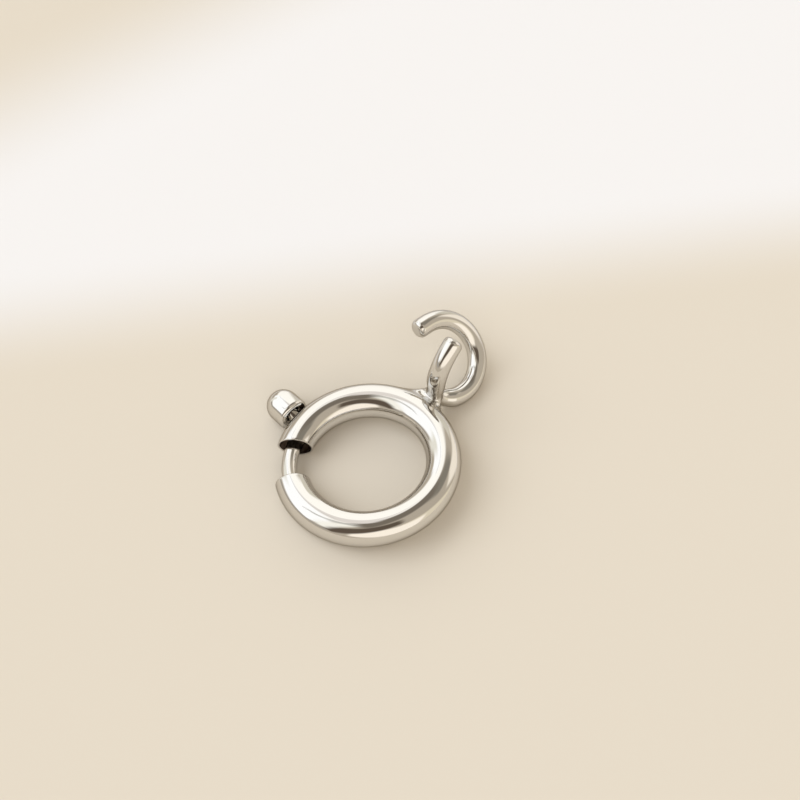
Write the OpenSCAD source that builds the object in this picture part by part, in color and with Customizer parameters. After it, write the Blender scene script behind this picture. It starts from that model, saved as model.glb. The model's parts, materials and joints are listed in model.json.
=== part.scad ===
// Spring ring clasp, 6 mm, in white gold: a hollow C-shaped ring tube with a wire eye soldered on,
// and a curved bolt that closes the gap and slides back into the tube when the thumb knob is pulled.
// Angles run round the ring from the neck of the eye, anticlockwise seen from above.
// The clasp lies on a level floor, on its tube, its knob and its eye.

/* [Ring tube] */
// Outside diameter of the ring
ring_od = 6; // [5.6:0.1:8]
// Outside diameter of the tube
tube_d = 1.12; // [1.08:0.02:1.3]
// Wall of the tube
wall = 0.06; // [0.05:0.01:0.1]
// Place of the open end, the mouth that the bolt slides into
mouth_az = 110.5; // [108:0.5:114]
// Lean of the mouth's face, seen from above
mouth_lean = 11; // [0:1:15]
// Lean of the mouth's face, seen from the outside
mouth_tip = 7; // [0:1:10]
// Place of the other end, the socket that holds the bolt's tip
socket_az = 142.5; // [138:0.5:146]
// Lean of the socket's face, seen from above
socket_lean = 6.5; // [0:0.5:12]
// Thickness of the cap that closes the socket round the bolt
socket_cap = 0.12; // [0.08:0.01:0.2]

/* [Bolt] */
// Diameter of the bolt's tongue
bolt_d = 0.5; // [0.4:0.02:0.56]
// How far outside the middle of the tube the tongue runs
bolt_out = 0.05; // [0:0.01:0.06]
// How far the tongue's tip reaches past the socket's face, as an angle
bolt_bite = 7.5; // [6:0.5:9]
// Turn of the bolt from closed to open
bolt_travel = 40; // [30:1:42]
// Angle that the guided tail takes up behind and in front of the knob's shank
tail_angle = 8; // [7:0.5:10]
// Running clearance all round the tail, the tongue and the shank
run_gap = 0.03; // [0.02:0.01:0.05]

/* [Thumb knob] */
// Place of the knob round the ring
knob_az = 90.5; // [86:0.5:92]
// Lean of the knob back towards the neck
knob_lean = 10; // [0:1:12]
// Diameter of the knob's head
knob_d = 1.1; // [0.8:0.05:1.2]
// Height of the head's straight side
knob_side = 0.58; // [0.3:0.02:0.66]
// Gap from the tube to the underside of the head
knob_gap = 0.08; // [0.07:0.01:0.2]
// Diameter of the shank below the head
shank_d = 0.42; // [0.36:0.02:0.46]
// Rounding of the head's lower edge
knob_round = 0.15; // [0.05:0.01:0.3]

/* [Wire eye] */
// Diameter of the wire
wire_d = 0.64; // [0.5:0.02:0.7]
// Bend radius of the eye, to the middle of the wire
eye_r = 1.32; // [1.2:0.02:1.5]
// Gap from the tube to the wire, along the neck
neck_len = 0.06; // [0.04:0.01:0.1]
// Radius of the fillets that run from the tube's outside into the neck
neck_fillet = 0.83; // [0.5:0.01:1]
// Turn of the eye about the upright through the neck
eye_yaw = 17; // [0:1:20]
// Rise of the eye's middle line from the ring's plane
eye_rise = 16; // [10:1:20]
// Twist of the eye's plane away from the upright
eye_twist = 46; // [36:1:50]
// How far the long arm starts below the ring's plane
eye_drop = 0.24; // [0.2:0.01:0.3]
// Angle round the eye at which the long arm runs out straight
arm_end = 54; // [30:1:70]
// Straight length at the long arm's end
arm_straight = 0.5; // [0.3:0.05:0.8]
// Length of the short arm from the neck
stub_len = 2.3; // [1.6:0.05:2.4]
// Bend radius of the short arm
stub_r = 1.7; // [1.5:0.05:2.5]
// Lean of the short arm inwards, where it starts
stub_lean = 17; // [10:1:25]
// Lean of the short arm sideways
stub_tilt = 5; // [0:1:10]
// How far the short arm starts to the side of the neck's middle
stub_side = 0.22; // [0.1:0.01:0.25]
// Rounding of the wire's cut ends
wire_round = 0.18; // [0.05:0.01:0.2]

/* [Rest] */
// Tilt of the ring on a level floor
rest_tilt = 5.6; // [3:0.05:7]
// Direction of the ring's high side, from the neck
rest_turn = -46.4; // [-60:0.1:-30]

/* [Hidden] */
$fn = 96;
metal = [0.86, 0.85, 0.83];
tube_r = tube_d / 2;
bore_r = tube_r - wall;
ring_r = ring_od / 2 - tube_r;
wire_r = wire_d / 2;
bolt_r = bolt_d / 2;
shank_r = shank_d / 2;
knob_r = knob_d / 2;
// The neck's two sides run along arcs that cross the tube's outline at a slight angle.
neck_x = ring_od / 2 + wire_r + neck_len;
blend_dip = 0.02;
blend_r = neck_fillet + wire_r;
blend_x = sqrt(pow(ring_od / 2 + neck_fillet - blend_dip, 2) - pow(blend_r, 2));
blend_from = 180 + atan2(blend_r, blend_x);
blend_to = 270 - asin((blend_x - neck_x) / blend_r);
eye_x = neck_x + wire_r / 4;
// The tongue runs a little outside the middle of the tube.
tongue_r = ring_r + bolt_out;
tip_az = socket_az + bolt_bite - bolt_r / tongue_r * 180 / PI;
// The shank crosses the tube's wall a little behind the place where it meets the tail.
slot_az = knob_az - tube_r * sin(knob_lean) / (ring_r + tube_r) * 180 / PI;
slot_half = shank_r + run_gap;
slot_end = slot_half / (ring_r + bore_r) * 180 / PI;
tail_r = bore_r - run_gap;
seat_depth = tail_r / 2;
cut = 3 * tube_r;
eps = 0.01;

// Puts what is drawn in the ring's own plane into its resting place.
module at_rest() {
    rotate([0, 0, rest_turn]) rotate([0, -rest_tilt, 0]) rotate([0, 0, -rest_turn]) children();
}

// A stretch of round bar bent about the upright, from one angle to another.
module bent_bar(bend, r, from, to) {
    rotate([0, 0, from]) rotate_extrude(angle = to - from) translate([bend, 0]) circle(r);
}

// A round bar's end, from z = 0 up, with its edge rounded.
module rounded_end(r, h, round) {
    rotate_extrude() {
        square([r - round, h]);
        square([r, h - round]);
        translate([r - round, h - round]) intersection() {
            circle(round);
            square(round);
        }
    }
}

// Everything beyond one end face of the tube, on the side that side = 1 or -1 names.
module beyond_face(az, lean, tip, side) {
    rotate([0, 0, az]) translate([ring_r, 0, 0]) rotate([-tip, 0, lean])
        translate([-cut, side > 0 ? 0 : -2 * cut, -cut]) cube([2 * cut, 2 * cut, 2 * cut]);
}

module gap_in_ring() {
    intersection() {
        beyond_face(mouth_az, mouth_lean, mouth_tip, 1);
        beyond_face(socket_az, -socket_lean, 0, -1);
    }
}

// The slot in the outer wall that the knob's shank slides along.
module slot() {
    rotate([0, 0, slot_az - bolt_travel - slot_end]) rotate_extrude(angle = bolt_travel + 2 * slot_end)
        translate([ring_r, -slot_half]) square([cut, 2 * slot_half]);
}

// Two bent arms that spread from the neck into the tube.
module neck() {
    for (side = [0, 1]) {
        mirror([0, side, 0]) translate([blend_x, blend_r, 0]) {
            bent_bar(blend_r, wire_r, blend_from, blend_to);
            rotate([0, 0, blend_to]) translate([blend_r, 0, 0]) sphere(wire_r);
        }
    }
}

module long_arm() {
    translate([eye_x, 0, -eye_drop]) {
        sphere(wire_r);
        rotate([0, 0, eye_yaw]) rotate([0, -eye_rise, 0]) rotate([90 - eye_twist, 0, 0]) translate([eye_r, 0, 0]) {
            bent_bar(eye_r, wire_r, -180, arm_end);
            rotate([0, 0, arm_end]) translate([eye_r, 0, 0]) rotate([-90, 0, 0]) {
                sphere(wire_r);
                rounded_end(wire_r, arm_straight, wire_round);
            }
        }
    }
}

module short_arm() {
    stub_angle = stub_len / stub_r * 180 / PI;
    translate([neck_x, -stub_side, 0]) {
        sphere(wire_r);
        rotate([stub_tilt, 0, 0]) rotate([0, -stub_lean, 0]) translate([stub_r, 0, 0]) rotate([90, 0, 0]) {
            bent_bar(stub_r, wire_r, 180 - stub_angle, 180);
            rotate([0, 0, 180 - stub_angle]) translate([stub_r, 0, 0]) rotate([90, 0, 0])
                rounded_end(wire_r, wire_round + eps, wire_round);
        }
    }
}

module ring_body() {
    cap_angle = socket_cap / ring_r * 180 / PI;
    color(metal) at_rest() difference() {
        union() {
            rotate_extrude() translate([ring_r, 0]) circle(tube_r);
            neck();
            long_arm();
            short_arm();
        }
        gap_in_ring();
        bent_bar(ring_r, bore_r, socket_az + cap_angle, 360 + (mouth_az + socket_az) / 2);
        bent_bar(tongue_r, bolt_r + run_gap, socket_az - 2 * cap_angle, socket_az + 2 * cap_angle);
        slot();
    }
}

module bolt() {
    color(metal) at_rest() difference() {
        union() {
            bent_bar(ring_r, tail_r, knob_az - tail_angle, knob_az + tail_angle);
            bent_bar(tongue_r, bolt_r, knob_az, tip_az);
            rotate([0, 0, tip_az]) translate([tongue_r, 0, 0]) sphere(bolt_r);
        }
        knob_place() cylinder(r = shank_r, h = cut);
    }
}

// The knob's own axis, up along z from the bottom of its seat in the tail.
module knob_place() {
    rotate([0, 0, knob_az]) translate([ring_r, 0, 0]) rotate([0, 0, -knob_lean])
        rotate([0, 90, 0]) translate([0, 0, -seat_depth]) children();
}

module thumb_knob() {
    under = seat_depth + tube_r + knob_gap;
    color(metal) at_rest() knob_place() {
        cylinder(r = shank_r, h = under + eps);
        translate([0, 0, under + knob_side]) {
            mirror([0, 0, 1]) rounded_end(knob_r, knob_side, knob_round);
            rotate_extrude() intersection() {
                circle(knob_r);
                square(knob_r);
            }
        }
    }
}

ring_body();
bolt();
thumb_knob();
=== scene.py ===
# %% [markdown]
# # A spring ring clasp in polished white gold
# A spring ring clasp closes a necklace: a hollow ring with a gap, a curved bolt that slides across the gap,
# a knob to pull the bolt back, and a wire eye for the chain. This lesson models it as its maker would see it,
# one piece at a time, and then polishes it under soft light.
#
# First the exact model is loaded. It gives the size, the floor and the axis that the bolt turns about,
# so nothing here has to be fitted by eye.

# %% Load the exact model
import json
from math import atan2, cos, degrees, hypot, pi, radians, sin, tan

import bpy
from mathutils import Matrix, Vector


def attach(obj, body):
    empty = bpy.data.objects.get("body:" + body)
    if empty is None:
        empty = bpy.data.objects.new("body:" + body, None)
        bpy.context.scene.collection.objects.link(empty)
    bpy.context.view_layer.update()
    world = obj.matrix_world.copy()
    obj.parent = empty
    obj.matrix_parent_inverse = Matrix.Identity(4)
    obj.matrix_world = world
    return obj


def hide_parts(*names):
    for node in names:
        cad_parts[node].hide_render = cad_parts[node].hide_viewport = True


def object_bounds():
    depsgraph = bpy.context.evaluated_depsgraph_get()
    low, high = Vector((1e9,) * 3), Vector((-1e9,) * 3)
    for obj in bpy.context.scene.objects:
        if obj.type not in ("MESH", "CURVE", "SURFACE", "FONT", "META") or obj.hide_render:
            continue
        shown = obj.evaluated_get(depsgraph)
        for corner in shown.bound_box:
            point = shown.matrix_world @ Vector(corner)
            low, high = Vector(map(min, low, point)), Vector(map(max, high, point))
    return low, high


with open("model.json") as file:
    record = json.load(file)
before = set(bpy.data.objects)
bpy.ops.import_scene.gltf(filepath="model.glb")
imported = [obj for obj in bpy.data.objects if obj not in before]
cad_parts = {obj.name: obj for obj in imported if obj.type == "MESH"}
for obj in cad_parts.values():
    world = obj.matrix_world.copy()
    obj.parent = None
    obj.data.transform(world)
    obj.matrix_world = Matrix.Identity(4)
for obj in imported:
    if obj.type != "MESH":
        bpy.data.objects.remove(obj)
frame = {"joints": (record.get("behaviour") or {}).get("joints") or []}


def in_mm(point):
    return [round(x * 1000, 2) for x in point]


cad_low, cad_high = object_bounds()
print("exact model from", in_mm(cad_low), "to", in_mm(cad_high), "mm")

# %% [markdown]
# A thing this small is easier to model in millimetres: one Blender unit stands for one millimetre, and each
# finished piece is shrunk to metres in its last step. The sizes are those of the exact model. The clasp lies
# a little tilted, so every piece is drawn flat, with the ring about the origin, and tilted at the end.

# %% Sizes in millimetres and the resting tilt
MM = 0.001
RING_R = 2.44
TUBE_R = 0.56
BORE_R = 0.5
MOUTH_AZ = 110.5
MOUTH_LEAN = 11
MOUTH_TIP = 7
SOCKET_AZ = 142.5
SOCKET_LEAN = -6.5
SOCKET_CAP = 2.8

up_axis = -Vector(frame["joints"][0]["axis"])
to_rest = Vector((0, 0, 1)).rotation_difference(up_axis).to_matrix().to_4x4()
print("the ring tilts by", round(degrees(up_axis.angle(Vector((0, 0, 1)))), 2), "degrees")

# %% [markdown]
# A few helpers keep the lesson short. An operator acts on whatever is selected, so `pick` clears the
# selection and then selects by a test on place. `finish` gives a piece its place on the floor, its size in
# metres and its smooth shading.

# %% Helpers for picking and finishing
def object_mode():
    if bpy.context.object and bpy.context.object.mode != "OBJECT":
        bpy.ops.object.mode_set(mode="OBJECT")


def only(piece):
    object_mode()
    bpy.ops.object.select_all(action="DESELECT")
    piece.select_set(True)
    bpy.context.view_layer.objects.active = piece


def pick(piece, kind, test):
    only(piece)
    bpy.ops.object.mode_set(mode="EDIT")
    bpy.ops.mesh.select_mode(type=kind)
    bpy.ops.mesh.select_all(action="DESELECT")
    bpy.ops.object.mode_set(mode="OBJECT")
    mesh = piece.data
    if kind == "FACE":
        for face in mesh.polygons:
            face.select = test(face.center)
    else:
        for edge in mesh.edges:
            edge.select = all(test(mesh.vertices[i].co) for i in edge.vertices)
    bpy.ops.object.mode_set(mode="EDIT")


def place(piece, matrix):
    piece.matrix_world = matrix
    only(piece)
    bpy.ops.object.transform_apply(location=True, rotation=True, scale=True)


def modify(piece, kind, **settings):
    only(piece)
    modifier = piece.modifiers.new(kind.lower(), kind)
    for name, value in settings.items():
        setattr(modifier, name, value)
    bpy.ops.object.modifier_apply(modifier=modifier.name)


def carve(piece, cutter, operation):
    modify(piece, "BOOLEAN", object=cutter, operation=operation, solver="EXACT")
    bpy.data.objects.remove(cutter)


def turn_z(angle):
    return Matrix.Rotation(radians(angle), 4, "Z")


def azimuth(point):
    return degrees(atan2(point.y, point.x)) % 360


def direction(az, el):
    level = cos(radians(el))
    return Vector((level * cos(radians(az)), level * sin(radians(az)), sin(radians(el))))


SHARP = 40


def finish(piece, name):
    place(piece, Matrix.Scale(MM, 4) @ to_rest)
    piece.name = name
    piece.data.name = name
    bpy.ops.object.shade_smooth_by_angle(angle=radians(SHARP))
    print(name, len(piece.data.polygons), "faces,", in_mm(piece.dimensions), "mm")


# %% [markdown]
# ## The camera
# The photograph looks down at the clasp from about five centimetres away, steeply and a little turned. The
# camera's place and lens were worked out from the ring: a circle seen at an angle is an ellipse, and how its
# near side grows tells the distance.

# %% Camera
CAMERA_AT = Vector((-21.28, -16.02, 40.03)) * MM
LOOK_AZ = 34.96
LOOK_DOWN = 53.92
CAMERA_ROLL = 3.03
LENS = 67.92
FILM_WIDTH = 36
NEAREST = 0.001

look = direction(LOOK_AZ, -LOOK_DOWN)
camera = bpy.data.objects.new("camera", bpy.data.cameras.new("camera"))
bpy.context.scene.collection.objects.link(camera)
aimed = look.to_track_quat("-Z", "Y").to_matrix().to_4x4()
camera.matrix_world = Matrix.Translation(CAMERA_AT) @ aimed @ turn_z(CAMERA_ROLL)
camera.data.lens = LENS
camera.data.sensor_width = FILM_WIDTH
camera.data.clip_start = NEAREST
bpy.context.scene.camera = camera
print("camera", round(camera.location.length * 1000, 1), "mm from the ring's centre")

# %% [markdown]
# ## Finishes
# Gold whitened with palladium and polished is a mirror with a faint warm tint, so nearly all that one sees
# of it is the studio. What tells it from chrome is its handling: the polishing wheel leaves hair-fine lines
# that run round the ring, and fingers leave a soft haze. Both effects are used by more than one finish, so
# they are shader node groups with named inputs, made once.

# %% Helpers for node groups
def node_group(name, inputs, outputs):
    group = bpy.data.node_groups.new(name, "ShaderNodeTree")
    for label, kind, value in inputs:
        socket = group.interface.new_socket(label, in_out="INPUT", socket_type=kind)
        if value is not None:
            socket.default_value = value
    for label, kind in outputs:
        group.interface.new_socket(label, in_out="OUTPUT", socket_type=kind)
    return group, group.nodes.new("NodeGroupInput"), group.nodes.new("NodeGroupOutput")


def math_node(tree, operation, first, second=None):
    node = tree.nodes.new("ShaderNodeMath")
    node.operation = operation
    for socket, value in zip(node.inputs, (first, second)):
        if isinstance(value, (int, float)):
            socket.default_value = value
        elif value is not None:
            tree.links.new(value, socket)
    return node.outputs[0]


def noise_node(tree, vector, scale, detail):
    node = tree.nodes.new("ShaderNodeTexNoise")
    node.inputs["Detail"].default_value = detail
    if isinstance(scale, (int, float)):
        node.inputs["Scale"].default_value = scale
    else:
        tree.links.new(scale, node.inputs["Scale"])
    tree.links.new(vector, node.inputs["Vector"])
    return node.outputs[0]


# %% [markdown]
# The polishing lines follow the ring, so they need coordinates that do. The distance from the ring's axis and
# the height stay as they are, and the angle round the axis is squeezed, which draws the noise out into lines.

# %% Group: polishing lines
lines_group, g_in, g_out = node_group(
    "polishing_lines",
    [("Vector", "NodeSocketVector", None), ("Density", "NodeSocketFloat", 9000.0),
     ("Drag", "NodeSocketFloat", 0.0004)],
    [("Height", "NodeSocketFloat")])
split = lines_group.nodes.new("ShaderNodeSeparateXYZ")
lines_group.links.new(g_in.outputs["Vector"], split.inputs[0])
x, y, z = split.outputs
x_squared = math_node(lines_group, "MULTIPLY", x, x)
y_squared = math_node(lines_group, "MULTIPLY", y, y)
from_axis = math_node(lines_group, "SQRT", math_node(lines_group, "ADD", x_squared, y_squared))
angle = math_node(lines_group, "ARCTAN2", y, x)
round_axis = math_node(lines_group, "MULTIPLY", angle, g_in.outputs["Drag"])
joined = lines_group.nodes.new("ShaderNodeCombineXYZ")
for socket, value in zip(joined.inputs, (from_axis, round_axis, z)):
    lines_group.links.new(value, socket)
drawn_out = noise_node(lines_group, joined.outputs[0], g_in.outputs["Density"], detail=2)
lines_group.links.new(drawn_out, g_out.inputs["Height"])
print("polishing_lines:", len(lines_group.nodes), "nodes")

# %% [markdown]
# Haze is what handling leaves: broad soft patches that are a little duller than the rest.

# %% Group: handling haze
PATCH_LOW = 0.35
PATCH_HIGH = 0.7
haze_group, g_in, g_out = node_group(
    "handling_haze",
    [("Vector", "NodeSocketVector", None), ("Patch Density", "NodeSocketFloat", 500.0),
     ("Clean", "NodeSocketFloat", 0.05), ("Dull", "NodeSocketFloat", 0.1)],
    [("Roughness", "NodeSocketFloat")])
patches = noise_node(haze_group, g_in.outputs["Vector"], g_in.outputs["Patch Density"], detail=3)
spread = haze_group.nodes.new("ShaderNodeMapRange")
spread.inputs["From Min"].default_value = PATCH_LOW
spread.inputs["From Max"].default_value = PATCH_HIGH
haze_group.links.new(patches, spread.inputs["Value"])
haze_group.links.new(g_in.outputs["Clean"], spread.inputs["To Min"])
haze_group.links.new(g_in.outputs["Dull"], spread.inputs["To Max"])
haze_group.links.new(spread.outputs[0], g_out.inputs["Roughness"])
print("handling_haze:", len(haze_group.nodes), "nodes")

# %% [markdown]
# The metal finishes place both groups with their own values. The Mapping node turns the coordinates by the
# ring's tilt, so that the lines run true to the ring and not to the floor. The valleys of the lines get a
# little painted shade, which a Map Range node in vector mode does: it has no named sockets for its vectors,
# so they are taken by number.

# %% Metal finishes
WHITE_GOLD = (0.72, 0.705, 0.68)
EDGE_TINT = (0.5, 0.47, 0.43)
# The bore's colour is far darker than the polished metal's: painted shade inside the hollow tube, on top of
# its rough unpolished finish.
BORE_GOLD_WITH_SHADE = (0.42, 0.36, 0.32)
VALLEY_PAINTED_SHADE = 0.97
MAP_VALUE = 6
MAP_LOW = 9
MAP_HIGH = 10


def metal(name, colour, clean, dull, line_depth):
    material = bpy.data.materials.new(name)
    material.use_nodes = True
    tree = material.node_tree
    shader = tree.nodes["Principled BSDF"]
    shader.inputs["Metallic"].default_value = 1.0
    shader.inputs["Specular Tint"].default_value = (*EDGE_TINT, 1)
    coords = tree.nodes.new("ShaderNodeTexCoord")
    level = tree.nodes.new("ShaderNodeMapping")
    level.inputs["Rotation"].default_value = to_rest.inverted().to_euler()
    tree.links.new(coords.outputs["Object"], level.inputs["Vector"])
    lines = tree.nodes.new("ShaderNodeGroup")
    lines.node_tree = lines_group
    haze = tree.nodes.new("ShaderNodeGroup")
    haze.node_tree = haze_group
    haze.inputs["Clean"].default_value = clean
    haze.inputs["Dull"].default_value = dull
    for node in (lines, haze):
        tree.links.new(level.outputs[0], node.inputs["Vector"])
    line_shade = tree.nodes.new("ShaderNodeMapRange")
    line_shade.data_type = "FLOAT_VECTOR"
    # Painted shade: the metal's colour is a little darker in the valleys of the polishing lines.
    line_shade.inputs[MAP_LOW].default_value = [c * VALLEY_PAINTED_SHADE for c in colour]
    line_shade.inputs[MAP_HIGH].default_value = colour
    tree.links.new(lines.outputs["Height"], line_shade.inputs[MAP_VALUE])
    tree.links.new(line_shade.outputs[1], shader.inputs["Base Color"])
    tree.links.new(haze.outputs["Roughness"], shader.inputs["Roughness"])
    bump = tree.nodes.new("ShaderNodeBump")
    bump.inputs["Strength"].default_value = 1.0
    bump.inputs["Distance"].default_value = line_depth
    tree.links.new(lines.outputs["Height"], bump.inputs["Height"])
    tree.links.new(bump.outputs[0], shader.inputs["Normal"])
    return material


polished = metal("polished_white_gold", WHITE_GOLD, clean=0.04, dull=0.09, line_depth=1.5e-8)
unpolished_and_shaded = metal("unpolished_shaded_bore", BORE_GOLD_WITH_SHADE, clean=0.25, dull=0.4, line_depth=2e-7)
print("finishes:", polished.name, unpolished_and_shaded.name)

# %% [markdown]
# ## The ring tube
# A torus is a ring of round tube. It starts as a coarse cage, because a Subdivision Surface rounds a cage
# off and blends whatever is pulled out of it. The rounding also shrinks the cage, by a share that depends on
# the number of corners, so the cage starts larger by that share. A patch of 4 by 2 faces is taken out of its
# outer side, where the neck of the eye will join.

# %% Cage of the tube
MAJOR = 48
MINOR = 12
NECK_PATCH = 15
NECK_PATCH_HALF = 0.2


def cage(radius, corners):
    return radius * 3 / (2 + cos(2 * pi / corners))


bpy.ops.object.select_all(action="DESELECT")
bpy.ops.mesh.primitive_torus_add(major_segments=MAJOR, minor_segments=MINOR,
                                 major_radius=cage(RING_R, MAJOR), minor_radius=cage(TUBE_R, MINOR))
tube = bpy.context.object
tube.data.materials.append(polished)
pick(tube, "FACE", lambda p: abs(degrees(atan2(p.y, p.x))) < NECK_PATCH and p.x > RING_R
     and abs(p.z) < NECK_PATCH_HALF)
bpy.ops.mesh.delete(type="FACE")
object_mode()
print("tube cage", len(tube.data.polygons), "faces")

# %% [markdown]
# ## The wire eye
# The eye is round wire, bent and left open so that a chain can be hung in it. A circle spun about a centre
# gives bent wire with an even grid of faces. With no window, a positive spin turns clockwise, so the angle is
# given as start minus end.

# %% Helpers for bent bars
END_SLACK = 1e-3
END_REACH = 1.2


def bent_bar(bend, radius, start, end, sides, step):
    bpy.ops.object.select_all(action="DESELECT")
    bpy.ops.mesh.primitive_circle_add(vertices=sides, radius=radius, location=(bend, 0, 0),
                                      rotation=(pi / 2, 0, 0))
    bar = bpy.context.object
    bar.data.materials.append(polished)
    place(bar, turn_z(start) @ bar.matrix_world)
    bpy.ops.object.mode_set(mode="EDIT")
    bpy.ops.mesh.select_all(action="SELECT")
    bpy.ops.mesh.spin(steps=round(abs(end - start) / step), angle=radians(start - end), center=(0, 0, 0),
                      axis=(0, 0, 1))
    object_mode()
    return bar


def bar_end(bend, angle, sign, matrix=Matrix.Identity(4)):
    turned = matrix @ turn_z(angle)
    return turned @ Vector((bend, 0, 0)), turned.to_3x3() @ Vector((0, sign, 0))


def near_end(end, radius):
    point, way = end
    return lambda p: abs((p - point).dot(way)) < END_SLACK and (p - point).length < END_REACH * radius


# %% [markdown]
# The eye is one wire that turns a corner where it is soldered on. The short arm rises from there, the long
# arm runs down, round and back up in one big bend. Both bends start a little away from the corner, and the
# two loops are bridged with two more loops between, which makes a round corner. The cage has eight sides.

# %% Cage of the wire eye
WIRE_R = 0.32
WIRE_SIDES = 8
EYE_R = 1.32
EYE_AT = Matrix.Translation((3.46, 0, -0.24))
EYE_YAW = 17
EYE_RISE = 16
EYE_TWIST = 46
EYE_START = -168
EYE_END = 54
STUB_R = 1.7
STUB_AT = Matrix.Translation((3.38, -0.22, 0))
STUB_TILT = 5
STUB_LEAN = 17
STUB_LENGTH = 2.3
STUB_START = 171
STUB_END = 180 - degrees(STUB_LENGTH / STUB_R)
CAGE_STEP = 10
CORNER_LOOPS = 2


def turn_x(angle):
    return Matrix.Rotation(radians(angle), 4, "X")


def turn_y(angle):
    return Matrix.Rotation(radians(angle), 4, "Y")


wire_cage_r = cage(WIRE_R, WIRE_SIDES)
long_place = (EYE_AT @ turn_z(EYE_YAW) @ turn_y(-EYE_RISE) @ turn_x(90 - EYE_TWIST)
              @ Matrix.Translation((EYE_R, 0, 0)))
short_place = (STUB_AT @ turn_x(STUB_TILT) @ turn_y(-STUB_LEAN) @ Matrix.Translation((STUB_R, 0, 0))
               @ turn_x(90))
wire = bent_bar(EYE_R, wire_cage_r, EYE_START, EYE_END, WIRE_SIDES, CAGE_STEP)
place(wire, long_place)
short_arm = bent_bar(STUB_R, wire_cage_r, STUB_START, STUB_END, WIRE_SIDES, CAGE_STEP)
place(short_arm, short_place)
only(wire)
short_arm.select_set(True)
bpy.ops.object.join()
at_long = near_end(bar_end(EYE_R, EYE_START, 1, long_place), wire_cage_r)
at_short = near_end(bar_end(STUB_R, STUB_START, 1, short_place), wire_cage_r)
pick(wire, "EDGE", lambda p: at_long(p) or at_short(p))
bpy.ops.mesh.bridge_edge_loops(number_cuts=CORNER_LOOPS, interpolation="PATH", smoothness=1)
object_mode()
print("wire cage", len(wire.data.polygons), "faces")

# %% [markdown]
# The same patch of 4 by 2 faces is taken out of the wire's corner, on the side that faces the tube. The two
# holes then have twelve edges each, and a bridge between them is the neck. Relaxing the cage there and then
# subdividing it gives the soft flare of a joint that has been soldered, filed and polished.

# %% Neck between tube and eye
def pick_open(piece, test):
    pick(piece, "EDGE", lambda p: False)
    bpy.ops.mesh.select_non_manifold(use_wire=False, use_multi_face=False, use_non_contiguous=False,
                                     use_verts=False)
    object_mode()
    corners = piece.data.vertices
    for edge in piece.data.edges:
        edge.select = edge.select and all(test(corners[i].co) for i in edge.vertices)
    bpy.ops.object.mode_set(mode="EDIT")


JOINT = Vector((3.3, -0.15, -0.1))
JOINT_REACH = 0.6
WIRE_PATCH_X = 3.4
WIRE_PATCH_LOW = -0.3
WIRE_PATCH_HIGH = 0.2
NEAR_NECK = Vector((3.6, 0.9, 0.6))
NECK_LOOPS = 1
RELAX = 0.5
RELAX_TIMES = 4
SUBDIVISIONS = 3

pick(wire, "FACE", lambda p: p.x < WIRE_PATCH_X and WIRE_PATCH_LOW < p.z < WIRE_PATCH_HIGH)
bpy.ops.mesh.delete(type="FACE")
only(tube)
wire.select_set(True)
bpy.ops.object.join()
pick_open(tube, lambda p: p.x < NEAR_NECK.x and abs(p.y) < NEAR_NECK.y and p.z < NEAR_NECK.z)
bpy.ops.mesh.bridge_edge_loops(number_cuts=NECK_LOOPS, interpolation="LINEAR")
bpy.ops.mesh.select_all(action="SELECT")
bpy.ops.mesh.normals_make_consistent(inside=False)
pick(tube, "FACE", lambda p: (p - JOINT).length < JOINT_REACH)
bpy.ops.mesh.vertices_smooth(factor=RELAX, repeat=RELAX_TIMES)
modify(tube, "SUBSURF", levels=SUBDIVISIONS, render_levels=SUBDIVISIONS)
print("tube and wire", len(tube.data.polygons), "faces")

# %% [markdown]
# The wire's two ends are still open. Each is closed, drawn out to its length and rounded where it was cut.

# %% Cut ends of the wire
ARM_STRAIGHT = 0.5
WIRE_ROUND = 0.18
TIP_DRAW = WIRE_ROUND + 0.01
END_STEPS = 8


def close_end(piece, end, radius, length, rounding):
    point, way = end
    pick(piece, "EDGE", near_end(end, radius))
    bpy.ops.mesh.edge_face_add()
    bpy.ops.mesh.extrude_region_move(TRANSFORM_OT_translate={"value": way * length})
    pick(piece, "EDGE", near_end((point + way * length, way), radius))
    bpy.ops.mesh.bevel(offset=rounding, segments=END_STEPS, affect="EDGES")
    object_mode()


close_end(tube, bar_end(EYE_R, EYE_END, 1, long_place), WIRE_R, ARM_STRAIGHT, WIRE_ROUND)
close_end(tube, bar_end(STUB_R, STUB_END, -1, short_place), WIRE_R, TIP_DRAW, WIRE_ROUND)
print("with ends", len(tube.data.polygons), "faces")

# %% [markdown]
# The tube is hollow, so a second, thinner torus turned inside out becomes its inner wall. Both are cut
# through at the open end, the mouth. At the other end, the socket, the inner wall stops short, which leaves
# a cap. Bisect cuts only the faces that are picked, so the two ends of the gap are cut one after the other.
# A slanting cut leaves slivers that a bevel would stumble over, so each wall is cut a little early and its
# open edge is drawn out to the full length as a band of even faces.

# %% Inner wall and the gap
BAND = 0.08
PLANE_SLACK = 1e-4
BORE_MAJOR = 192
BORE_MINOR = 48


def on_plane(point, normal):
    return lambda p: abs((p - point).dot(normal)) < PLANE_SLACK and (p - point).length < 2 * TUBE_R


def cut(piece, low, high, point, normal, draw):
    early = point - draw
    pick(piece, "FACE", lambda p: low < azimuth(p) < high)
    bpy.ops.mesh.bisect(plane_co=early, plane_no=normal, clear_outer=draw.dot(normal) > 0,
                        clear_inner=draw.dot(normal) < 0)
    pick(piece, "EDGE", on_plane(early, normal))
    bpy.ops.mesh.extrude_edges_move(TRANSFORM_OT_translate={"value": draw})


bpy.ops.object.select_all(action="DESELECT")
bpy.ops.mesh.primitive_torus_add(major_segments=BORE_MAJOR, minor_segments=BORE_MINOR,
                                 major_radius=RING_R, minor_radius=BORE_R)
bore = bpy.context.object
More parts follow.
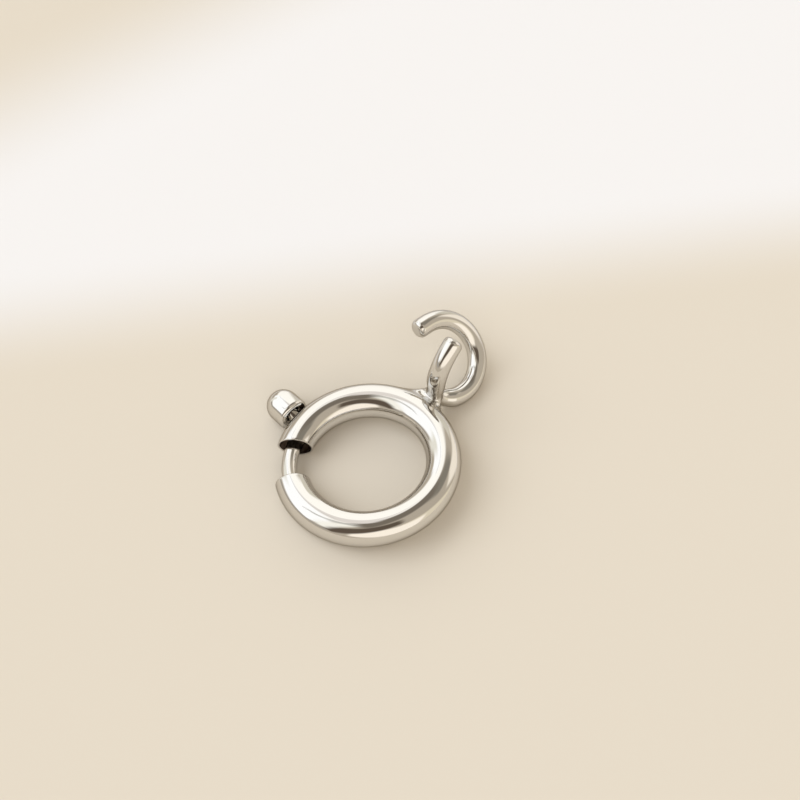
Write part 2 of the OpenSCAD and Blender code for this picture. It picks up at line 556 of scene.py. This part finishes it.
# The inner wall gets the rough finish whose darker colour is painted shade in the bore.
bore.data.materials.append(unpolished_and_shaded)
pick(bore, "FACE", lambda p: True)
bpy.ops.mesh.flip_normals()

GAP_AZ = (MOUTH_AZ + SOCKET_AZ) / 2
REACH = 32
mouth_point = turn_z(MOUTH_AZ) @ Vector((RING_R, 0, 0))
mouth_normal = turn_z(MOUTH_AZ + MOUTH_LEAN) @ turn_x(-MOUTH_TIP) @ Vector((0, 1, 0))
socket_point = turn_z(SOCKET_AZ) @ Vector((RING_R, 0, 0))
socket_normal = turn_z(SOCKET_AZ + SOCKET_LEAN) @ Vector((0, 1, 0))
bore_end = turn_z(SOCKET_AZ + SOCKET_CAP) @ Vector((RING_R, 0, 0))
bore_normal = turn_z(SOCKET_AZ + SOCKET_CAP) @ Vector((0, 1, 0))
mouth_draw = turn_z(MOUTH_AZ) @ Vector((0, BAND, 0))
socket_draw = turn_z(SOCKET_AZ) @ Vector((0, -BAND, 0))
for piece in (tube, bore):
    cut(piece, GAP_AZ - REACH, GAP_AZ, mouth_point, mouth_normal, mouth_draw)
cut(tube, GAP_AZ, GAP_AZ + REACH, socket_point, socket_normal, socket_draw)
cut(bore, GAP_AZ, GAP_AZ + REACH, bore_end, bore_normal, socket_draw)
object_mode()
print("gap cut, tube", len(tube.data.polygons), "faces, inner wall", len(bore.data.polygons))

# %% [markdown]
# The cap closes each wall with one face. The socket's edge is rounded a little. At the mouth the two walls
# are bridged into a rim, and the rim's two edges are bevelled: a polished edge catches light that a sharp
# one loses.

# %% Caps and rim
SOCKET_ROUND = 0.04
RIM_ROUND = 0.016
EDGE_STEPS = 3


def from_middle(p):
    return hypot(hypot(p.x, p.y) - RING_R, p.z)


pick(bore, "EDGE", on_plane(bore_end, bore_normal))
bpy.ops.mesh.edge_face_add()
pick(tube, "EDGE", on_plane(socket_point, socket_normal))
bpy.ops.mesh.edge_face_add()
pick(tube, "EDGE", on_plane(socket_point, socket_normal))
bpy.ops.mesh.bevel(offset=SOCKET_ROUND, segments=EDGE_STEPS, affect="EDGES")
only(tube)
bore.select_set(True)
bpy.ops.object.join()
at_mouth = on_plane(mouth_point, mouth_normal)
pick(tube, "EDGE", at_mouth)
bpy.ops.mesh.bridge_edge_loops()
middle_of_wall = (TUBE_R + BORE_R) / 2
for outside in (True, False):
    pick(tube, "EDGE", lambda p: at_mouth(p) and (from_middle(p) > middle_of_wall) == outside)
    bpy.ops.mesh.bevel(offset=RIM_ROUND, segments=EDGE_STEPS, affect="EDGES")
object_mode()
print("ring tube", len(tube.data.polygons), "faces")

# %% [markdown]
# The knob's shank slides along a slot in the tube's outer wall, and the bolt's tip goes through a hole in
# the cap. Both are carved with a Boolean. The slot's cutter is a flat outline spun about the ring's axis.

# %% Slot and bolt hole
KNOB_AZ = 90.5
KNOB_LEAN = 10
SHANK_R = 0.21
BOLT_R = 0.25
BOLT_BEND = 2.49
RUN_GAP = 0.03
TRAVEL = 40
SLOT_STEPS = 40
CUTTER_DEPTH = 1
HOLE_SIDES = 48
HOLE_DEPTH = 0.5
slot_half = SHANK_R + RUN_GAP
slot_az = KNOB_AZ - degrees(TUBE_R * sin(radians(KNOB_LEAN)) / (RING_R + TUBE_R))
slot_end = degrees(slot_half / (RING_R + BORE_R))

bpy.ops.object.select_all(action="DESELECT")
bpy.ops.mesh.primitive_plane_add(size=CUTTER_DEPTH, location=(RING_R + CUTTER_DEPTH / 2, 0, 0),
                                 rotation=(pi / 2, 0, 0))
slot_cutter = bpy.context.object
place(slot_cutter, turn_z(slot_az + slot_end) @ slot_cutter.matrix_world
      @ Matrix.Diagonal((1, 2 * slot_half / CUTTER_DEPTH, 1, 1)))
bpy.ops.object.mode_set(mode="EDIT")
bpy.ops.mesh.select_all(action="SELECT")
bpy.ops.mesh.delete(type="ONLY_FACE")
bpy.ops.mesh.select_all(action="SELECT")
bpy.ops.mesh.spin(steps=SLOT_STEPS, angle=radians(TRAVEL + 2 * slot_end), center=(0, 0, 0),
                  axis=(0, 0, 1))
bpy.ops.mesh.select_all(action="SELECT")
bpy.ops.mesh.fill_holes(sides=4)
bpy.ops.mesh.normals_make_consistent(inside=False)
carve(tube, slot_cutter, "DIFFERENCE")

bpy.ops.object.select_all(action="DESELECT")
bpy.ops.mesh.primitive_cylinder_add(vertices=HOLE_SIDES, radius=BOLT_R + RUN_GAP, depth=HOLE_DEPTH)
hole_cutter = bpy.context.object
place(hole_cutter, turn_z(SOCKET_AZ) @ Matrix.Translation((BOLT_BEND, 0, 0)) @ turn_x(90))
carve(tube, hole_cutter, "DIFFERENCE")
print("slot from", round(slot_az + slot_end, 1), "back by", round(TRAVEL + 2 * slot_end, 1), "degrees")

finish(tube, "ring_with_eye")
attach(tube, "ring")
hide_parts("ring_body")

# %% [markdown]
# ## The bolt
# The bolt is a thin curved tongue with a thicker tail that the tube guides. Only the tongue shows, in the
# gap, with its round tip in the socket. It is bent wire again, united with a short stretch of thicker bar.
# The last degree of each of the tail's two ends is drawn out straight, to be rounded.

# %% Bolt
BOLT_BITE = 7.5
BOLT_SIDES = 48
BOLT_STEP = 1
TIP_SHARE = 0.97
TAIL_R = BORE_R - RUN_GAP
TAIL_ANGLE = 8
TAIL_END = 1
TAIL_ROUND = 0.02
tip_az = SOCKET_AZ + BOLT_BITE - degrees(BOLT_R / BOLT_BEND)
tail_from = KNOB_AZ - TAIL_ANGLE + TAIL_END
tail_to = KNOB_AZ + TAIL_ANGLE - TAIL_END


def shut(bar):
    pick(bar, "FACE", lambda p: True)
    bpy.ops.mesh.normals_make_consistent(inside=False)
    object_mode()


tail = bent_bar(RING_R, TAIL_R, tail_from, tail_to, BOLT_SIDES, BOLT_STEP)
for angle, sign in ((tail_from, -1), (tail_to, 1)):
    close_end(tail, bar_end(RING_R, angle, sign), TAIL_R, RING_R * radians(TAIL_END), TAIL_ROUND)
shut(tail)
tongue = bent_bar(BOLT_BEND, BOLT_R, KNOB_AZ, tip_az, BOLT_SIDES, BOLT_STEP)
close_end(tongue, bar_end(BOLT_BEND, KNOB_AZ, -1), BOLT_R, BOLT_R, TAIL_ROUND)
close_end(tongue, bar_end(BOLT_BEND, tip_az, 1), BOLT_R, BOLT_R, TIP_SHARE * BOLT_R)
shut(tongue)
carve(tail, tongue, "UNION")
finish(tail, "sliding_bolt")
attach(tail, "slider")
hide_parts("bolt")

# %% [markdown]
# ## The thumb knob
# The knob is turned on a lathe: a dome, a straight side, a rounded lower edge and a shank. A sphere gives
# the dome. Its lower half is deleted, the open edge is drawn down for the side, and the bottom is inset to
# the shank's size and drawn down again.

# %% Thumb knob
KNOB_R = 0.55
KNOB_SIDE = 0.58
KNOB_GAP = 0.08
KNOB_ROUND = 0.15
KNOB_SEGMENTS = 96
KNOB_RINGS = 48
KNOB_STEPS = 10
ON_AXIS = 0.01
seat_depth = TAIL_R / 2
under = seat_depth + TUBE_R + KNOB_GAP

bpy.ops.object.select_all(action="DESELECT")
bpy.ops.mesh.primitive_uv_sphere_add(segments=KNOB_SEGMENTS, ring_count=KNOB_RINGS, radius=KNOB_R)
knob = bpy.context.object
knob.data.materials.append(polished)
pick(knob, "FACE", lambda p: p.z < 0)
bpy.ops.mesh.delete(type="FACE")
pick(knob, "EDGE", lambda p: abs(p.z) < PLANE_SLACK)
bpy.ops.mesh.extrude_edges_move(TRANSFORM_OT_translate={"value": (0, 0, -KNOB_SIDE)})
bpy.ops.mesh.edge_face_add()
pick(knob, "EDGE", lambda p: abs(p.z + KNOB_SIDE) < PLANE_SLACK)
bpy.ops.mesh.bevel(offset=KNOB_ROUND, segments=KNOB_STEPS, affect="EDGES")
pick(knob, "FACE", lambda p: p.z < -KNOB_SIDE + PLANE_SLACK and hypot(p.x, p.y) < ON_AXIS)
bpy.ops.mesh.inset(thickness=KNOB_R - KNOB_ROUND - SHANK_R)
bpy.ops.mesh.extrude_region_move(TRANSFORM_OT_translate={"value": (0, 0, -under)})
object_mode()
place(knob, turn_z(KNOB_AZ) @ Matrix.Translation((RING_R, 0, 0)) @ turn_z(-KNOB_LEAN) @ turn_y(90)
      @ Matrix.Translation((0, 0, under + KNOB_SIDE - seat_depth)))
finish(knob, "pull_knob")
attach(knob, "slider")
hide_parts("thumb_knob")

# %% [markdown]
# ## The floor
# The clasp lies on pale cream paper. The paper is far larger than the view, because the polished metal
# mirrors it out to the horizon. Beyond a soft slanting edge a pool of light is painted on it, almost white.
# The edge is a line on the floor, so a point's distance from it is a dot product, and a smooth step turns
# that into a mask. A second such edge paints shade over the far corner, back down to the cream, and a fine
# noise gives the paper its tooth. The colours of a Mix node share their names with its other sockets, so they
# are taken by number.

# %% Floor
FLOOR_SIZE = 1.2
FLOOR_CREAM = (0.644, 0.576, 0.473)
# The almost white colour is painted light: a pool of light on the paper beyond the first edge. The corner
# edge paints shade, taking that light away again in the far corner.
FLOOR_PAINTED_LIGHT = (0.752, 0.731, 0.71)
PAINTED_LIGHT_FROM = 5.6
PAINTED_LIGHT_TO = 10.8
PAINTED_LIGHT_WAY = (0.67, 0.742)
CORNER_SHADE_FROM = 29
CORNER_SHADE_TO = 20
CORNER_SHADE_WAY = (0.257, 1.115)
PAPER_ROUGH = 0.9
PAPER_SHINE = 0.1
TOOTH_SCALE = 6000
TOOTH_STRENGTH = 0.5
TOOTH_DEPTH = 2e-6
MIX_FIRST = 6
MIX_SECOND = 7
MIX_COLOUR = 2

bpy.ops.object.select_all(action="DESELECT")
bpy.ops.mesh.primitive_plane_add(size=FLOOR_SIZE, location=(0, 0, cad_low.z))
floor = bpy.context.object
floor.name = "floor"
bpy.ops.object.transform_apply(location=True, rotation=True, scale=True)
paper = bpy.data.materials.new("cream_paper")
paper.use_nodes = True
tree = paper.node_tree
shader = tree.nodes["Principled BSDF"]
shader.inputs["Roughness"].default_value = PAPER_ROUGH
shader.inputs["Specular IOR Level"].default_value = PAPER_SHINE
coords = tree.nodes.new("ShaderNodeTexCoord").outputs["Object"]
split = tree.nodes.new("ShaderNodeSeparateXYZ")
tree.links.new(coords, split.inputs[0])


def floor_edge(way, start, end):
    along = math_node(tree, "ADD", math_node(tree, "MULTIPLY", split.outputs[0], way[0]),
                      math_node(tree, "MULTIPLY", split.outputs[1], way[1]))
    edge = tree.nodes.new("ShaderNodeMapRange")
    edge.interpolation_type = "SMOOTHSTEP"
    edge.inputs["From Min"].default_value = start * MM
    edge.inputs["From Max"].default_value = end * MM
    tree.links.new(along, edge.inputs["Value"])
    return edge.outputs[0]


# Mask of the painted pool of light, cut back by the painted shade in the far corner.
painted_light = math_node(tree, "MULTIPLY", floor_edge(PAINTED_LIGHT_WAY, PAINTED_LIGHT_FROM, PAINTED_LIGHT_TO),
                 floor_edge(CORNER_SHADE_WAY, CORNER_SHADE_FROM, CORNER_SHADE_TO))
tone = tree.nodes.new("ShaderNodeMix")
tone.data_type = "RGBA"
tone.inputs[MIX_FIRST].default_value = (*FLOOR_CREAM, 1)
tone.inputs[MIX_SECOND].default_value = (*FLOOR_PAINTED_LIGHT, 1)
tree.links.new(painted_light, tone.inputs[0])
tree.links.new(tone.outputs[MIX_COLOUR], shader.inputs["Base Color"])
tooth = tree.nodes.new("ShaderNodeBump")
tooth.inputs["Strength"].default_value = TOOTH_STRENGTH
tooth.inputs["Distance"].default_value = TOOTH_DEPTH
tree.links.new(noise_node(tree, coords, TOOTH_SCALE, detail=3), tooth.inputs["Height"])
tree.links.new(tooth.outputs[0], shader.inputs["Normal"])
floor.data.materials.append(paper)
print("floor at", round(cad_low.z * 1000, 3), "mm")

# %% [markdown]
# ## The studio light
# Polished metal shows the studio, so the studio is part of the picture. Large bright panels stand at the
# left and behind, a low one in front, and the dark of the room between them makes the dark bands along the
# tube. The narrow strips at the end of the list are the gaps and stands between the panels, which draw the
# fine lines. Each panel is a rectangle with soft edges, drawn on the world by direction. Later ones cover
# earlier ones.

# %% Studio panels
ROOM = (0.6, 0.53, 0.43)
panel_group, g_in, g_out = node_group(
    "soft_panel",
    [("Direction", "NodeSocketVector", None), ("Facing", "NodeSocketVector", None),
     ("Right", "NodeSocketVector", None), ("Up", "NodeSocketVector", None),
     ("Half Width", "NodeSocketFloat", 1.0), ("Half Height", "NodeSocketFloat", 1.0),
     ("Soft", "NodeSocketFloat", 0.1)],
    [("Mask", "NodeSocketFloat")])


def dot_node(tree, first, second):
    node = tree.nodes.new("ShaderNodeVectorMath")
    node.operation = "DOT_PRODUCT"
    tree.links.new(first, node.inputs[0])
    tree.links.new(second, node.inputs[1])
    return node.outputs["Value"]


def edge_mask(tree, distance, half, soft):
    node = tree.nodes.new("ShaderNodeMapRange")
    node.interpolation_type = "SMOOTHSTEP"
    tree.links.new(distance, node.inputs["Value"])
    tree.links.new(math_node(tree, "ADD", half, soft), node.inputs["From Min"])
    tree.links.new(math_node(tree, "SUBTRACT", half, soft), node.inputs["From Max"])
    return node.outputs[0]


IN_FRONT = 0.05
ahead = dot_node(panel_group, g_in.outputs["Direction"], g_in.outputs["Facing"])
masks = [math_node(panel_group, "GREATER_THAN", ahead, IN_FRONT)]
for axis, half in (("Right", "Half Width"), ("Up", "Half Height")):
    along = dot_node(panel_group, g_in.outputs["Direction"], g_in.outputs[axis])
    away = math_node(panel_group, "ABSOLUTE", math_node(panel_group, "DIVIDE", along, ahead))
    masks.append(edge_mask(panel_group, away, g_in.outputs[half], g_in.outputs["Soft"]))
across = math_node(panel_group, "MULTIPLY", masks[0], masks[1])
panel_group.links.new(math_node(panel_group, "MULTIPLY", across, masks[2]), g_out.inputs["Mask"])

PANELS = [
    # azimuth, elevation, half width, half height and roll in degrees, soft edge, colour
    (-21, 59, 15.4, 15.7, -30, 0.1, (0.302, 0.273, 0.225)),
    (-65, -2, 57, 15.6, -38, 0.07, (0.96, 0.86, 0.67)),
    (69, 86, 23.7, 17.2, 13, 0.1, (0.24, 0.205, 0.165)),
    (41, 30, 57.8, 23.9, 55, 0.1, (1.42, 1.39, 1.31)),
    (119, 40, 37.8, 25.1, -12, 0.1, (1.42, 1.44, 1.46)),
    (98, 20, 6.9, 21.6, 14, 0.1, (1.068, 1.048, 0.943)),
    (-126, 19, 36.5, 19.3, -16, 0.1, (1.35, 1.24, 1.085)),
    (-19, 9, 30.5, 16.3, -56, 0.1, (1.2, 1.1, 0.95)),
    (-164, 44, 36.7, 14.3, 43, 0.1, (0.144, 0.111, 0.083)),
    (162, 45, 6.7, 26.7, 6, 0.1, (1.3, 1.28, 1.18)),
    (130, 64, 3, 13.5, -8, 0.05, (0.82, 0.81, 0.76)),
    (74, 68, 6.9, 11.9, -37, 0.05, (1.021, 0.964, 0.908)),
    (10, 12, 11.5, 19, 3, 0.05, (0.84, 0.79, 0.67)),
    (141, 9, 32.7, 3.2, 4, 0.01, (0.464, 0.431, 0.383)),
    (127, 52, 0.7, 9, 0, 0.006, (0.5, 0.48, 0.45)),
    (72, 56, 0.6, 12, -20, 0.006, (0.7, 0.67, 0.63))]
world = bpy.data.worlds.new("studio")
bpy.context.scene.world = world
world.use_nodes = True
tree = world.node_tree
seen = tree.nodes.new("ShaderNodeTexCoord").outputs["Generated"]
colour = None
for az, el, half_width, half_height, roll, soft, light in PANELS:
    facing = direction(az, el)
    right = Matrix.Rotation(radians(roll), 3, facing) @ direction(az + 90, 0)
    node = tree.nodes.new("ShaderNodeGroup")
    node.node_tree = panel_group
    tree.links.new(seen, node.inputs["Direction"])
    node.inputs["Facing"].default_value = facing
    node.inputs["Right"].default_value = right
    node.inputs["Up"].default_value = facing.cross(right)
    node.inputs["Half Width"].default_value = tan(radians(half_width))
    node.inputs["Half Height"].default_value = tan(radians(half_height))
    node.inputs["Soft"].default_value = soft
    mix = tree.nodes.new("ShaderNodeMix")
    mix.data_type = "RGBA"
    tree.links.new(node.outputs["Mask"], mix.inputs["Factor"])
    if colour is None:
        mix.inputs[MIX_FIRST].default_value = (*ROOM, 1)
    else:
        tree.links.new(colour, mix.inputs[MIX_FIRST])
    mix.inputs[MIX_SECOND].default_value = (*light, 1)
    colour = mix.outputs[MIX_COLOUR]
tree.links.new(colour, tree.nodes["Background"].inputs["Color"])
bpy.context.scene.view_settings.view_transform = "Standard"
print(len(PANELS), "panels")

# %% [markdown]
# The panels are what the metal mirrors. The paper is also lit by two broad lamps through diffusers that the
# metal doesn't show, so the lamps are hidden from glossy rays: a main one at the left, and one from the
# front that lifts the shadow inside the ring. Their wide angles keep the shadows soft.

# %% Lamps for the paper
LAMPS = [
    # name, azimuth, elevation, strength, angle
    ("main_lamp", 135, 52, 0.92, 50),
    ("fill_lamp", -145, 48, 0.8, 60)]
LAMP_COLOUR = (1, 1.08, 1.23)

for name, az, el, strength, width in LAMPS:
    lamp = bpy.data.objects.new(name, bpy.data.lights.new(name, "SUN"))
    bpy.context.scene.collection.objects.link(lamp)
    lamp.rotation_euler = direction(az, el).to_track_quat("Z", "Y").to_euler()
    lamp.data.energy = strength
    lamp.data.angle = radians(width)
    lamp.data.color = LAMP_COLOUR
    lamp.visible_glossy = False
    print(name, "at", el, "degrees above the floor")
